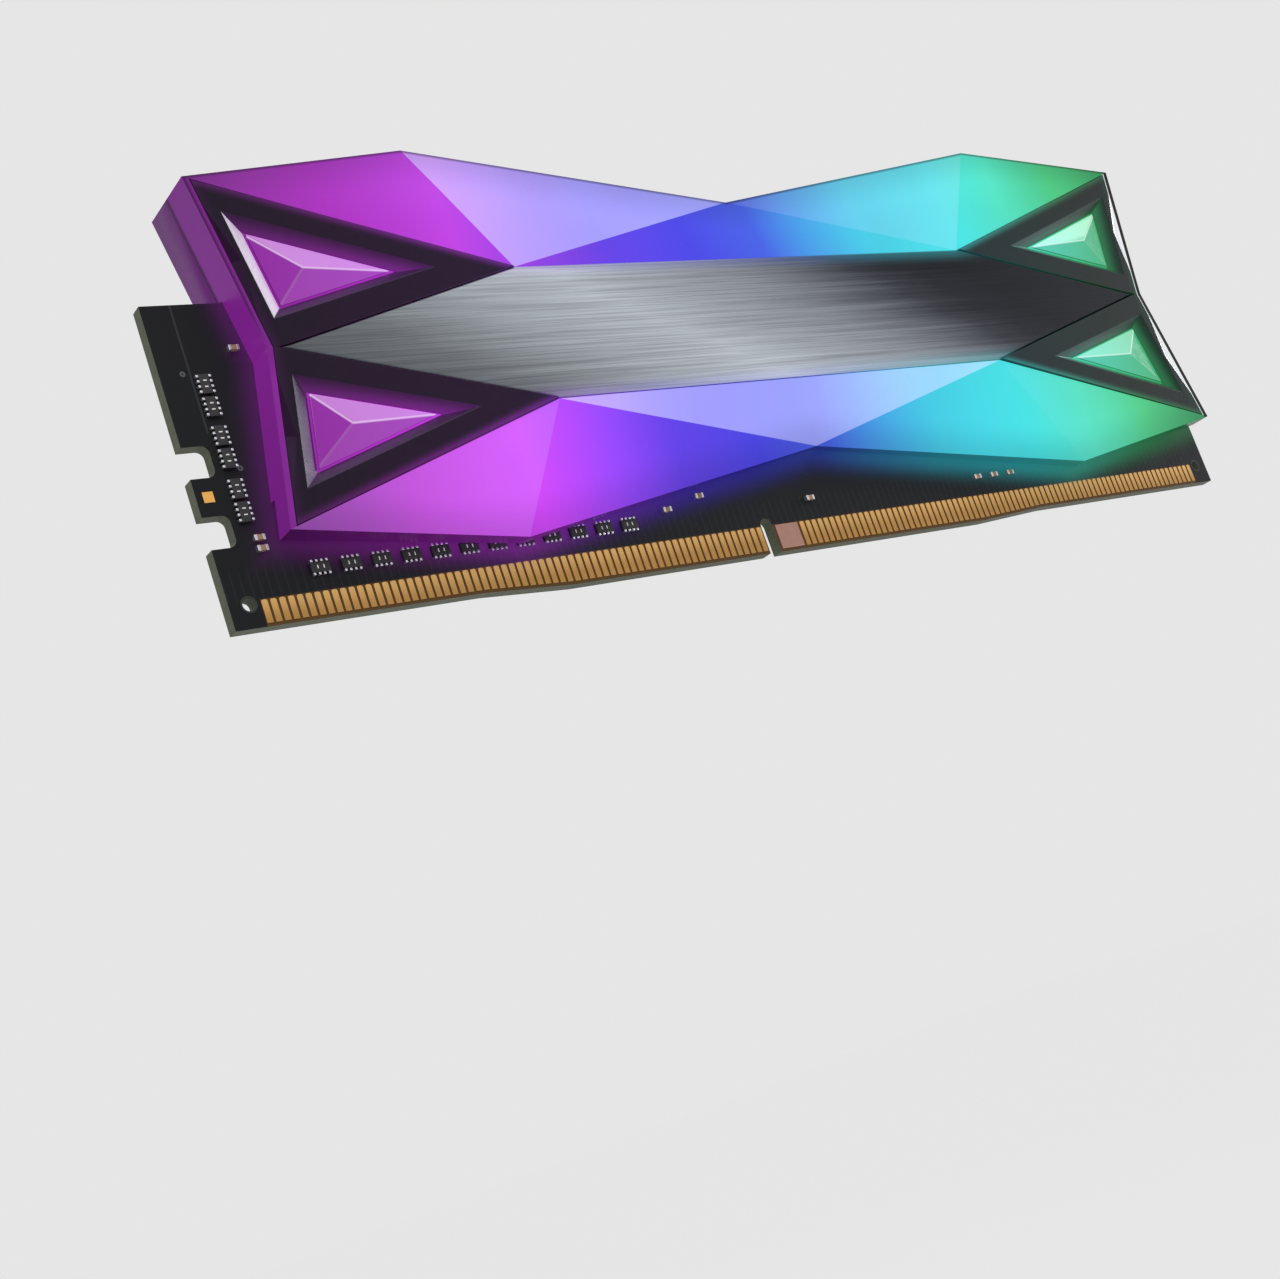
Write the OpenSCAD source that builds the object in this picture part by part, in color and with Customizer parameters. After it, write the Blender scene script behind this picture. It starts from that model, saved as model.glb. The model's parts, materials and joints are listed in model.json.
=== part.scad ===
// Computer memory module: a keyed circuit board with gold edge contacts, carried
// between two lit heat spreaders.  Each spreader is a faceted light guide that sits
// on the board, an aluminium sheet on the thermal pad inside it, a metal frame with
// four triangular windows, a brushed centre plate and a clear prism in each window.
//
// X runs along the board, Y through its thickness and Z up from its contact edge.
// The origin is at the middle of the lowest edge, halfway through the board.

/* [Board] */
// Length of the board
board_l = 133.35; // [110:0.05:165]
// Height of the board above its lowest edge
board_h = 31.25; // [29:0.05:38]
// Thickness of the board
board_t = 1.4; // [1.1:0.05:1.8]
// How far the middle of the lower edge stands below its ends
edge_step = 0.5; // [0.2:0.05:1]
// Half the length of the low middle stretch
step_inner = 28.4; // [20:0.1:34]
// Half the length over which the lower edge has stepped up again
step_outer = 38.4; // [35:0.1:50]
// Middle of the low stretch, from the middle of the board
step_x = -3.1; // [-6:0.1:6]

/* [Notches and holes] */
// Key slot centre, from the left end of the board
key_x = 60.7; // [50:0.05:75]
// Width of the key slot
key_w = 1.5; // [1:0.05:2]
// Top of the key slot above the lowest edge
key_h = 3.85; // [3:0.05:5]
// Height of each latch notch
latch_h = 3; // [2.4:0.05:3.6]
// Depth of each latch notch
latch_d = 2.5; // [1.8:0.05:3]
// Inside corner radius of the latch notches
latch_r = 0.75; // [0.4:0.05:1]
// Centre heights of the two latch notches
latch_z = [9.5, 16.1];
// Radius of the tooling hole at each lower corner
hole_r = 0.6; // [0.4:0.05:0.8]
// Tooling hole centre, in from the end and up from the lowest edge
hole_at = [1.9, 2.7];

/* [Contacts] */
// Distance between neighbouring contacts
pitch = 0.85; // [0.7:0.05:1.05]
// Width of one contact
contact_w = 0.6; // [0.45:0.05:0.65]
// Height of the top of the contacts
contact_top = 2.95; // [2.4:0.05:3.6]
// Bare strip below each contact
contact_inset = 0.3; // [0.1:0.05:0.5]
// Thickness of the plated copper
contact_t = 0.05; // [0.03:0.01:0.1]
// First contact centre, from the end of the board
contact_margin = 3.35; // [3:0.05:4]
// Length from the key slot to the first contact on its right
patch_l = 3.95; // [3:0.05:6]

/* [Chips] */
// Width, height and thickness of one memory chip
chip = [7.5, 11, 1];
// Distance between neighbouring memory chips
chip_pitch = 13.4; // [11:0.1:16]
// Distance from the middle of the board to the first chip on each side
chip_first = 10.5; // [8:0.1:12]
// Height of the bottom of the memory chips
chip_z = 12.8; // [12.3:0.1:15]
// Thickness of the thermal pad on the chips
pad_t = 0.4; // [0.3:0.05:0.6]

/* [Heat spreader] */
// How far the spreader's centre lies to the right of the board's
shell_dx = 2.9; // [0:0.1:4]
// Height of the spreader's centre
shell_cz = 25; // [23:0.1:27]
// Distance from the board's face to the front of the frame
shell_t = 3.3; // [3:0.05:4]
// Half the length between the four outer corners
corner_x = 63.5; // [50:0.1:76]
// Half the height between the outer corners
corner_z = 17.2; // [15.8:0.1:19]
// Half the length between the notched ends
tip_x = 60.4; // [48:0.1:73]
// Half the length between the peaks
peak_x = 39.3; // [34:0.1:45]
// Half the height between the upper and lower peaks
peak_z = 20.5; // [19.5:0.1:24]
// Half the height at the shallow notch in the middle
notch_z = 14.6; // [13.8:0.1:17]
// How far the peaks lie behind the front
peak_drop = 0.9; // [0.3:0.05:1.2]
// How far the middle notches lie behind the front
notch_drop = 1.5; // [0.6:0.05:1.6]
// Wall of the light guide
guide_wall = 1.2; // [0.8:0.05:1.6]
// Light guide left outside the ends of the frame
guide_rim = 0.55; // [0.4:0.05:0.9]
// Gap under the light guide's lower rim, over the small parts on the board
rim_lift = 0.8; // [0.6:0.05:1]
// Thickness of the aluminium sheet on the thermal pad
sheet_t = 0.5; // [0.3:0.05:0.6]
// Length and height of the aluminium sheet
sheet = [104, 18];

/* [Frame and centre plate] */
// Thickness of the frame around its windows
frame_t = 1; // [0.8:0.05:1.1]
// Thickness of the brushed centre plate
plate_t = 0.6; // [0.4:0.05:0.7]
// Half the length of the centre plate's long edges
plate_x = 31.2; // [26:0.1:38]
// Half the height of the centre plate
plate_z = 7.15; // [6:0.05:8]
// Bevel round the centre plate
plate_bevel = 0.2; // [0.1:0.05:0.3]
// How far the centre plate stands above the facets beside it
plate_proud = 0.3; // [0.1:0.05:0.5]
// Width of the frame's long upper and lower arms
arm_outer = 2.55; // [2:0.05:3]
// Width of the frame's arms beside the centre plate
arm_inner = 2.4; // [1.8:0.05:2.8]
// Width of the frame's arms at the ends
arm_end = 1.5; // [1.1:0.05:1.9]
// Slope of each window's two long walls, measured across them
window_bevel = 1.1; // [0.8:0.05:1.4]
// Slope of each window's short wall, towards the end of the frame
window_end_bevel = 1.65; // [1.1:0.05:1.9]
// Depth of the bright facet ground on each end of the frame
end_facet = 0.5; // [0.2:0.05:0.7]
// Flat left between each bright facet and the window beside it
facet_margin = 0.35; // [0.2:0.05:0.6]
// Length of each end edge before its bright facet starts
facet_start = 0.8; // [0.4:0.05:2]

/* [Prisms] */
// Gap round each prism
prism_gap = 0.15; // [0.1:0.05:0.3]
// How far each prism's point lies behind the front
prism_drop = 0.15; // [0.05:0.05:0.4]

/* [Fit] */
// Clearance between parts that slide into each other
fit_gap = 0.05; // [0.02:0.01:0.1]
// Gap between the top of the board and the light guides
board_gap = 0.15; // [0.1:0.05:0.4]

/* [Hidden] */
$fn = 32;
FRONT = -1;
REAR = 1;
QUADRANTS = [[1, 1], [-1, 1], [-1, -1], [1, -1]];

left = -board_l / 2;
key_left = left + key_x;

// Contacts stand at one pitch from each end up to the key slot and the bare patch.
left_count = floor((key_x - key_w / 2 - contact_w / 2 - contact_margin + fit_gap) / pitch) + 1;
right_first = key_x + key_w / 2 + patch_l;
right_count = floor((board_l - contact_margin - right_first + fit_gap) / pitch) + 1;

// Heights above the board's face.
sheet_h0 = chip[2] + pad_t;
sheet_h1 = sheet_h0 + sheet_t;
frame_h0 = shell_t - frame_t;
plate_h0 = shell_t - plate_t;

// The sheet stands a little above the spreader's centre, and the pad covers its lower half.
sheet_dz = 0.6;
pad_margin = 1;
pad_size = [sheet[0] - 2 * pad_margin, 8.6];
pad_top = shell_cz + sheet_dz;

// Copper left bare at the key slot and at each end of the board.
patch_margin = 0.3;
patch_end = 0.6;
test_pad = [1, 1];
test_pad_at = [1.15, 12.8];

// Small board parts.
pack = [1.9, 0.95, 0.4];
terminal = [0.26, 0.28, 0.42];
pack_row_x = 9.4;
pack_row_z = 5.1;
pack_row_pitch = 3.1;
pack_row_count = 12;
pack_terminals_a_side = 4;
terminal_pitch = 0.5;
side_pack_x = 3.9;
side_group_z = [12.1, 17.2, 22.2];
side_group_pitch = 2.2;
capacitor = [1, 0.5, 0.5];
capacitor_places = [[4.55, 8.5], [4.55, 7.5], [7.6, 26.6], [48.6, 6.1], [53.1, 7.1], [67.5, 5.3]];
capacitor_row_x = 93;
capacitor_row_z = 5.1;
capacitor_row_pitch = 2.7;
led = [3, 1.6, 0.8];
led_count = 9;
led_pitch = 12.2;
led_margin = 0.6;
hub_chip = [2, 3, 0.75];
hub_rise = 3;
driver_chip = [4, 4, 0.85];
driver_drop = 5;

// Height of the board's lower edge at a place along it.
function edge_z(x) =
  let (d = abs(x - step_x))
  d < step_inner ? 0 : d > step_outer ? edge_step
    : edge_step * (d - step_inner) / (step_outer - step_inner);

function along(a, b, d) = a + d * (b - a) / norm(b - a);
function cross2(a, b) = a[0] * b[1] - a[1] * b[0];
// Where the line through a along u meets the line through b along v.
function meet(a, u, b, v) = a + u * cross2(b - a, v) / cross2(u, v);
function unit(v) = v / norm(v);
function left_of(v) = [-v[1], v[0]];
// The triangle a, b, c (anticlockwise) with its three sides moved inwards.
function shrink(t, d) =
  let (u = [for (i = [0:2]) unit(t[(i + 1) % 3] - t[i])],
       p = [for (i = [0:2]) t[i] + left_of(u[i]) * d[i]])
  [for (i = [0:2]) meet(p[(i + 2) % 3], u[(i + 2) % 3], p[i], u[i])];

// The rim measured along the frame's upper edge, which meets the end at a slant.
rim_slant = 1.2;
// Where the plate's pointed ends stop before the frame's.
plate_tip_margin = 0.7;

// Corners of the heat spreader in its own plane, first quadrant.
corner = [corner_x, corner_z];
peak = [peak_x, peak_z];
notch = [0, notch_z];
tip = [tip_x, 0];
plate_corner = [plate_x, plate_z];

// The frame stops short of the light guide's ends by the rim.
frame_corner = along(corner, plate_corner, guide_rim * rim_slant);
frame_tip = [tip_x - guide_rim, 0];

// Each window is the triangle between plate and outer edge, less the arms.
frame_triangle = [frame_tip, frame_corner, plate_corner];
window = shrink(frame_triangle, [arm_end, arm_outer, arm_inner]);
window_slopes = [window_end_bevel, window_bevel, window_bevel];
prism_seat = shrink(window, window_slopes);
prism_base = shrink(prism_seat, [1, 1, 1] * prism_gap);
point_shares = [0.36, 0.34, 0.30];
prism_point = point_shares * prism_base;
prism_foot = 0.25;

function flip(p, q) = [p[0] * q[0], p[1] * q[1]];

outline = [
  flip(corner, [1, 1]), flip(peak, [1, 1]), notch, flip(peak, [-1, 1]), flip(corner, [-1, 1]), -tip,
  flip(corner, [-1, -1]), flip(peak, [-1, -1]), -notch, flip(peak, [1, -1]), flip(corner, [1, -1]), tip];
outline_drop = [0, peak_drop, notch_drop, peak_drop, 0, 0, 0, peak_drop, notch_drop, peak_drop, 0, 0];
metal_area = [
  flip(frame_corner, [1, 1]), flip(plate_corner, [1, 1]), flip(plate_corner, [-1, 1]),
  flip(frame_corner, [-1, 1]), -frame_tip, flip(frame_corner, [-1, -1]),
  flip(plate_corner, [-1, -1]), flip(plate_corner, [1, -1]), flip(frame_corner, [1, -1]), frame_tip];
plate_area = [
  flip(plate_corner, [1, 1]), flip(plate_corner, [-1, 1]), [plate_tip_margin - frame_tip[0], 0],
  flip(plate_corner, [-1, -1]), flip(plate_corner, [1, -1]), [frame_tip[0] - plate_tip_margin, 0]];

// Lays children out on one face of the board: x along it, y up, z outwards.
module on_board(side) {
  translate([0, side * board_t / 2, 0]) rotate([90, 0, side == FRONT ? 0 : 180]) children();
}

// The same, from the middle of the heat spreader.
module on_spreader(side) {
  translate([shell_dx, side * board_t / 2, shell_cz])
    rotate([90, 0, side == FRONT ? 0 : 180]) children();
}

// Repeats children in the spreader's chosen quadrant.
module in_quadrant(q) {
  mirror([q[0] < 0 ? 1 : 0, 0, 0]) mirror([0, q[1] < 0 ? 1 : 0, 0]) children();
}

module block(size, at) {
  translate([at[0] - size[0] / 2, at[1] - size[1] / 2, 0]) cube(size);
}

module board_outline() {
  right = board_l / 2;
  difference() {
    polygon([
      [left, edge_step], [step_x - step_outer, edge_step], [step_x - step_inner, 0],
      [step_x + step_inner, 0], [step_x + step_outer, edge_step], [right, edge_step],
      [right, board_h], [left, board_h]]);
    translate([key_left, key_h - key_w / 2]) circle(d = key_w);
    translate([key_left - key_w / 2, -1]) square([key_w, key_h - key_w / 2 + 1]);
    for (side = [-1, 1], z = latch_z) {
      translate([side * board_l / 2, z]) {
        square([2 * (latch_d - latch_r), latch_h], center = true);
        square([2 * latch_d, latch_h - 2 * latch_r], center = true);
        for (up = [-1, 1])
          translate([-side * (latch_d - latch_r), up * (latch_h / 2 - latch_r)]) circle(r = latch_r);
      }
    }
    for (side = [-1, 1])
      translate([side * (board_l / 2 - hole_at[0]), hole_at[1]]) circle(r = hole_r);
  }
}

module pcb() {
  color("#26272c")
    translate([0, board_t / 2, 0]) rotate([90, 0, 0]) linear_extrude(board_t) board_outline();
}

// The rear row is the front row seen through the board.
module contacts(side) {
  color("#dcaa64")
    on_board(side)
      for (i = [0:left_count - 1]) contact_at(side, left + contact_margin + i * pitch);
  color("#dcaa64")
    on_board(side)
      for (i = [0:right_count - 1]) contact_at(side, -left - contact_margin - i * pitch);
}

module contact_at(side, x) {
  z0 = edge_z(x) + contact_inset;
  translate([-side * x - contact_w / 2, z0, 0]) cube([contact_w, contact_top - z0, contact_t]);
}

module copper_pads() {
  patch = [patch_l - patch_margin - patch_end, contact_top - contact_inset, contact_t];
  patch_x = key_left + key_w / 2 + patch_margin + patch[0] / 2;
  color("#b98a78")
    for (side = [FRONT, REAR])
      on_board(side) {
        block(patch, [-side * patch_x, contact_inset + patch[1] / 2]);
        block([test_pad[0], test_pad[1], contact_t], [-side * (left + test_pad_at[0]), test_pad_at[1]]);
      }
}

module dram(index) {
  place = index < 4 ? -chip_first - (3 - index) * chip_pitch : chip_first + (index - 4) * chip_pitch;
  color("#1c1c1f") on_board(FRONT) block(chip, [place, chip_z + chip[1] / 2]);
}

module spd_chip() {
  color("#1c1c1f") on_board(FRONT) block(hub_chip, [0, chip_z + hub_rise]);
}

module led_driver() {
  color("#1c1c1f") on_board(FRONT) block(driver_chip, [0, board_h - driver_drop]);
}

module leds(side) {
  color("white")
    on_board(side)
      for (i = [0:led_count - 1])
        block(led, [
          (i - (led_count - 1) / 2) * led_pitch - side * shell_dx / 2, board_h - led[1] / 2 - led_margin]);
}

// Middles of the resistor packs: a row along the contacts, and turned pairs up the left end.
pack_places = concat(
  [for (i = [0:pack_row_count - 1]) [left + pack_row_x + i * pack_row_pitch, pack_row_z, 0]],
  [for (z = side_group_z, up = [-1, 1]) [left + side_pack_x, z + up * side_group_pitch / 2, 90]]);

module resistor_packs() {
  color("#202024")
    on_board(FRONT)
      for (p = pack_places) translate([p[0], p[1], 0]) rotate(p[2]) block(pack, [0, 0]);
}

module pack_terminals() {
  color("#c9cbd0")
    on_board(FRONT)
      for (p = pack_places)
        translate([p[0], p[1], 0]) rotate(p[2])
          for (i = [0:pack_terminals_a_side - 1], up = [-1, 1])
            block(terminal, [
              (i - (pack_terminals_a_side - 1) / 2) * terminal_pitch, up * (pack[1] + terminal[1]) / 2]);
}

module capacitors() {
  color("#8d7760")
    on_board(FRONT) {
      for (p = capacitor_places) block(capacitor, [left + p[0], p[1]]);
      for (i = [0:2])
        block(capacitor, [left + capacitor_row_x + i * capacitor_row_pitch, capacitor_row_z]);
    }
}

module capacitors_rear() {
  color("#8d7760")
    on_board(REAR)
      for (i = [0:pack_row_count - 1])
        for (end = [-1, 1])
          block(capacitor, [end * (left + pack_row_x + i * pack_row_pitch), pack_row_z]);
}

module thermal_pad(side) {
  on_front = side == FRONT;
  h0 = on_front ? chip[2] : 0;
  color("#9aa3ad")
    on_board(side)
      translate([0, 0, h0])
        block([pad_size[0], pad_size[1], sheet_h0 - h0], [-side * shell_dx, pad_top - pad_size[1] / 2]);
}

module inner_sheet(side) {
  color("#b4b8bc")
    on_spreader(side)
      translate([0, 0, sheet_h0]) block([sheet[0], sheet[1], sheet_t], [0, sheet_dz]);
}

// The facets run from the centre plate out to the peaks, corners and middle notches.
// The back is flat, and split into the same triangles.
module faceted_body() {
  n = len(outline);
  inner = [for (q = QUADRANTS) [q[0] * plate_x, q[1] * plate_z]];
  back = -board_t / 2;
  points = concat(
    [for (p = outline) [p[0], p[1], back]],
    [for (p = inner) [p[0], p[1], back]],
    [for (i = [0:n - 1]) [outline[i][0], outline[i][1], shell_t - outline_drop[i]]],
    [for (p = inner) [p[0], p[1], shell_t - plate_proud]]);
  layer = n + len(inner);
  ur = n;
  ul = n + 1;
  ll = n + 2;
  lr = n + 3;
  facets = [
    [0, 1, ur], [1, 2, ur], [2, ul, ur], [2, 3, ul], [3, 4, ul], [4, 5, ul],
    [5, ll, ul], [5, 6, ll], [6, 7, ll], [7, 8, ll], [8, lr, ll], [8, 9, lr],
    [9, 10, lr], [10, 11, lr], [11, ur, lr], [11, 0, ur], [ul, ll, lr], [ul, lr, ur]];
  polyhedron(points = points, faces = concat(
    facets,
    [for (i = [0:n - 1]) [i, i + layer, (i + 1) % n + layer, (i + 1) % n]],
    [for (f = facets) [for (k = [2:-1:0]) f[k] + layer]]));
}

module light_guide(side) {
  room = 4 * peak_z;
  board_top = board_h + board_gap - shell_cz;
  rim_top = guide_wall - notch_z;
  color("#a030c0")
    on_spreader(side)
      difference() {
        faceted_body();
        translate([0, 0, frame_h0]) linear_extrude(shell_t) polygon(metal_area);
        translate([-board_l, board_top - room, -board_t]) cube([2 * board_l, room, board_t]);
        translate([-board_l, rim_top - room, -board_t]) cube([2 * board_l, room, board_t + rim_lift]);
        translate([0, 0, -1])
          linear_extrude(sheet_h0 + 1)
            intersection() {
              offset(delta = -guide_wall) polygon(outline);
              translate([-board_l, board_top - room]) square([2 * board_l, room]);
            }
        translate([0, 0, sheet_h0 - fit_gap])
          block([sheet[0] + 2 * fit_gap, sheet[1] + 2 * fit_gap, sheet_t + fit_gap], [0, sheet_dz]);
      }
}

// The solid between two outlines of as many corners, one above the other.
module lofted(low, high, z) {
  n = len(low);
  polyhedron(
    points = concat([for (p = low) [p[0], p[1], z[0]]], [for (p = high) [p[0], p[1], z[1]]]),
    faces = concat(
      [[for (i = [0:n - 1]) i], [for (i = [n - 1:-1:0]) i + n]],
      [for (i = [0:n - 1]) [i, i + n, (i + 1) % n + n, (i + 1) % n]]));
}

// A window tapers from its opening in the front down to the prism's seat.
module window_cut() {
  over = 0.1;
  more = window_slopes * over / frame_t;
  lofted(
    shrink(prism_seat, more), shrink(window, -more),
    [frame_h0 - over, shell_t + over]);
}

// The bright facets on each end edge are deepest half way between corner and tip.
module end_facet_cut() {
  over = 0.3;
  outward = left_of(unit(frame_tip - frame_corner));
  middle = (frame_corner + frame_tip) / 2;
  inner = middle - outward * (arm_end - facet_margin);
  outer = middle + outward * over;
  top = shell_t + over;
  ends = [
    along(frame_corner, frame_tip, facet_start) + outward * over,
    along(frame_tip, frame_corner, facet_start) + outward * over];
  polyhedron(
    points = [
      [ends[0][0], ends[0][1], shell_t], [inner[0], inner[1], shell_t], [ends[1][0], ends[1][1], shell_t],
      [outer[0], outer[1], shell_t - end_facet],
      [ends[0][0], ends[0][1], top], [inner[0], inner[1], top], [ends[1][0], ends[1][1], top],
      [outer[0], outer[1], top]],
    faces = [
      [0, 1, 3], [1, 2, 3], [7, 6, 5, 4], [0, 4, 5, 1], [1, 5, 6, 2], [2, 6, 7, 3], [3, 7, 4, 0]]);
}

module spreader_frame(side) {
  color("#4a4650")
    on_spreader(side)
      difference() {
        translate([0, 0, frame_h0])
          linear_extrude(frame_t) offset(delta = -fit_gap) polygon(metal_area);
        translate([0, 0, plate_h0]) linear_extrude(plate_t + 1) polygon(plate_area);
        for (q = QUADRANTS) {
          in_quadrant(q) {
            window_cut();
            end_facet_cut();
          }
        }
      }
}

module centre_plate(side) {
  low = plate_t - plate_bevel;
  color("#8b9094")
    on_spreader(side)
      translate([0, 0, plate_h0])
        hull() {
          linear_extrude(low) offset(delta = -fit_gap) polygon(plate_area);
          linear_extrude(plate_t) offset(delta = -fit_gap - plate_bevel) polygon(plate_area);
        }
}

module prism(side, index) {
  color("#d060e0")
    on_spreader(side)
      in_quadrant(QUADRANTS[index])
        translate([0, 0, frame_h0])
          polyhedron(
            points = concat(
              [for (p = prism_base) [p[0], p[1], 0]],
              [for (p = prism_base) [p[0], p[1], prism_foot]],
              [[prism_point[0], prism_point[1], frame_t - prism_drop]]),
            faces = [
              [0, 1, 2], [0, 3, 4, 1], [1, 4, 5, 2], [2, 5, 3, 0], [3, 6, 4], [4, 6, 5], [5, 6, 3]]);
}

pcb();
contacts(FRONT);  // contacts_front
contacts(REAR);  // contacts_rear
copper_pads();
for (i = [0:7])
  dram(i);
spd_chip();
led_driver();
leds(FRONT);  // leds_front
leds(REAR);  // leds_rear
resistor_packs();
pack_terminals();
capacitors();
capacitors_rear();
thermal_pad(FRONT);  // thermal_pad_front
thermal_pad(REAR);  // thermal_pad_rear
inner_sheet(FRONT);  // sheet_front
inner_sheet(REAR);  // sheet_rear
light_guide(FRONT);  // light_guide_front
light_guide(REAR);  // light_guide_rear
spreader_frame(FRONT);  // frame_front
spreader_frame(REAR);  // frame_rear
centre_plate(FRONT);  // centre_plate_front
centre_plate(REAR);  // centre_plate_rear
for (i = [0:3]) {
  prism(FRONT, i);
  prism(REAR, i);
}
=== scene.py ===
"""Finishes and fine parts of a lit memory module, built round its measured frame.

The board carries its contacts and small parts, and two heat spreaders close on it.
Each spreader is a faceted light guide with a dark metal frame, a brushed plate and
four clear prisms.  X runs along the board, Y through it and Z up from its contacts.
"""

import json
import logging
import math
from collections.abc import Callable, Iterable, Sequence
from dataclasses import dataclass
from enum import Enum
from functools import reduce
from typing import Any

import bmesh
import bpy
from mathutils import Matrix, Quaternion, Vector


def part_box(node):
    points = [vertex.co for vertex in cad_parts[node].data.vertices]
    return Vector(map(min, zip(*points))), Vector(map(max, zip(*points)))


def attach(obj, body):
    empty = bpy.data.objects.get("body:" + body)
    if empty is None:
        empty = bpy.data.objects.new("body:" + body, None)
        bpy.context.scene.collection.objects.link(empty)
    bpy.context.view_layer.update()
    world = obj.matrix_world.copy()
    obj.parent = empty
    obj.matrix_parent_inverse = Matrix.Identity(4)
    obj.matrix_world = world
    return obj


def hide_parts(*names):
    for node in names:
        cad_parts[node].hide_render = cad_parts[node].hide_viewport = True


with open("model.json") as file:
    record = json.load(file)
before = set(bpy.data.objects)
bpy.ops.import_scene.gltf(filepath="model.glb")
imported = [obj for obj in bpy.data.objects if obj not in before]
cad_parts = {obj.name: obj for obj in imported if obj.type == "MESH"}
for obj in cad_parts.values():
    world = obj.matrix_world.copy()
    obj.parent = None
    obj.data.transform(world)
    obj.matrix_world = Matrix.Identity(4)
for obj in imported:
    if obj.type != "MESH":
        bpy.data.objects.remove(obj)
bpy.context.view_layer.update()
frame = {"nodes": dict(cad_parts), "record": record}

log = logging.getLogger("memory_module")

MM = 0.001

Point = tuple[float, float]
Colour = tuple[float, float, float, float]


def srgb(red: float, green: float, blue: float) -> Colour:
    """Returns the linear colour of three display values from 0 to 255."""
    def linear(value: float) -> float:
        """Returns one channel on the linear scale."""
        share = value / 255
        return share / 12.92 if share <= 0.04045 else ((share + 0.055) / 1.055) ** 2.4

    return (linear(red), linear(green), linear(blue), 1.0)


class Side(Enum):
    """The two faces of the board, by the way that each one looks along Y."""

    FRONT = -1
    REAR = 1

    @property
    def word(self) -> str:
        """The side's name as the nodes use it."""
        return self.name.lower()


# ------------------------------------------------------------------ shader building


class Wire:
    """One shader socket, which can stand in a Python expression."""

    def __init__(self, recipe: "Recipe", socket: bpy.types.NodeSocket) -> None:
        """Wraps a socket.

        Args:
            recipe: The material that the socket belongs to.
            socket: An output socket of one of its nodes.
        """
        self.recipe = recipe
        self.socket = socket

    def __add__(self, other: "Wire | float") -> "Wire":
        """Returns self + other."""
        return self.recipe.math("ADD", self, other)

    def __radd__(self, other: float) -> "Wire":
        """Returns other + self."""
        return self.recipe.math("ADD", other, self)

    def __sub__(self, other: "Wire | float") -> "Wire":
        """Returns self - other."""
        return self.recipe.math("SUBTRACT", self, other)

    def __rsub__(self, other: float) -> "Wire":
        """Returns other - self."""
        return self.recipe.math("SUBTRACT", other, self)

    def __mul__(self, other: "Wire | float") -> "Wire":
        """Returns self * other."""
        return self.recipe.math("MULTIPLY", self, other)

    def __rmul__(self, other: float) -> "Wire":
        """Returns other * self."""
        return self.recipe.math("MULTIPLY", other, self)

    def __truediv__(self, other: "Wire | float") -> "Wire":
        """Returns self / other."""
        return self.recipe.math("DIVIDE", self, other)

    def __abs__(self) -> "Wire":
        """Returns the size of self without its sign."""
        return self.recipe.math("ABSOLUTE", self)

    def least(self, other: "Wire | float") -> "Wire":
        """Returns the smaller of self and other."""
        return self.recipe.math("MINIMUM", self, other)

    def most(self, other: "Wire | float") -> "Wire":
        """Returns the larger of self and other."""
        return self.recipe.math("MAXIMUM", self, other)

    def zigzag(self, height: float) -> "Wire":
        """Returns self folded back and forth between 0 and height."""
        return self.recipe.math("PINGPONG", self, height)

    def step(self, low: float, high: float) -> "Wire":
        """Returns a smooth rise from 0 to 1.

        Args:
            low: Where the rise starts.
            high: Where it ends; below low, the result falls from 1 to 0 between them.
        """
        falls = low > high
        node = self.recipe.add(
            "ShaderNodeMapRange",
            {"interpolation_type": "SMOOTHSTEP"},
            {
                "Value": self,
                "From Min": min(low, high),
                "From Max": max(low, high),
                "To Min": 1.0 if falls else 0.0,
                "To Max": 0.0 if falls else 1.0,
            },
        )
        return self.recipe.wire(node)


def greatest(wires: Iterable[Wire]) -> Wire:
    """Returns the largest of several values at each point."""
    return reduce(Wire.most, wires)


def smallest(wires: Iterable[Wire]) -> Wire:
    """Returns the smallest of several values at each point."""
    return reduce(Wire.least, wires)


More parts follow.
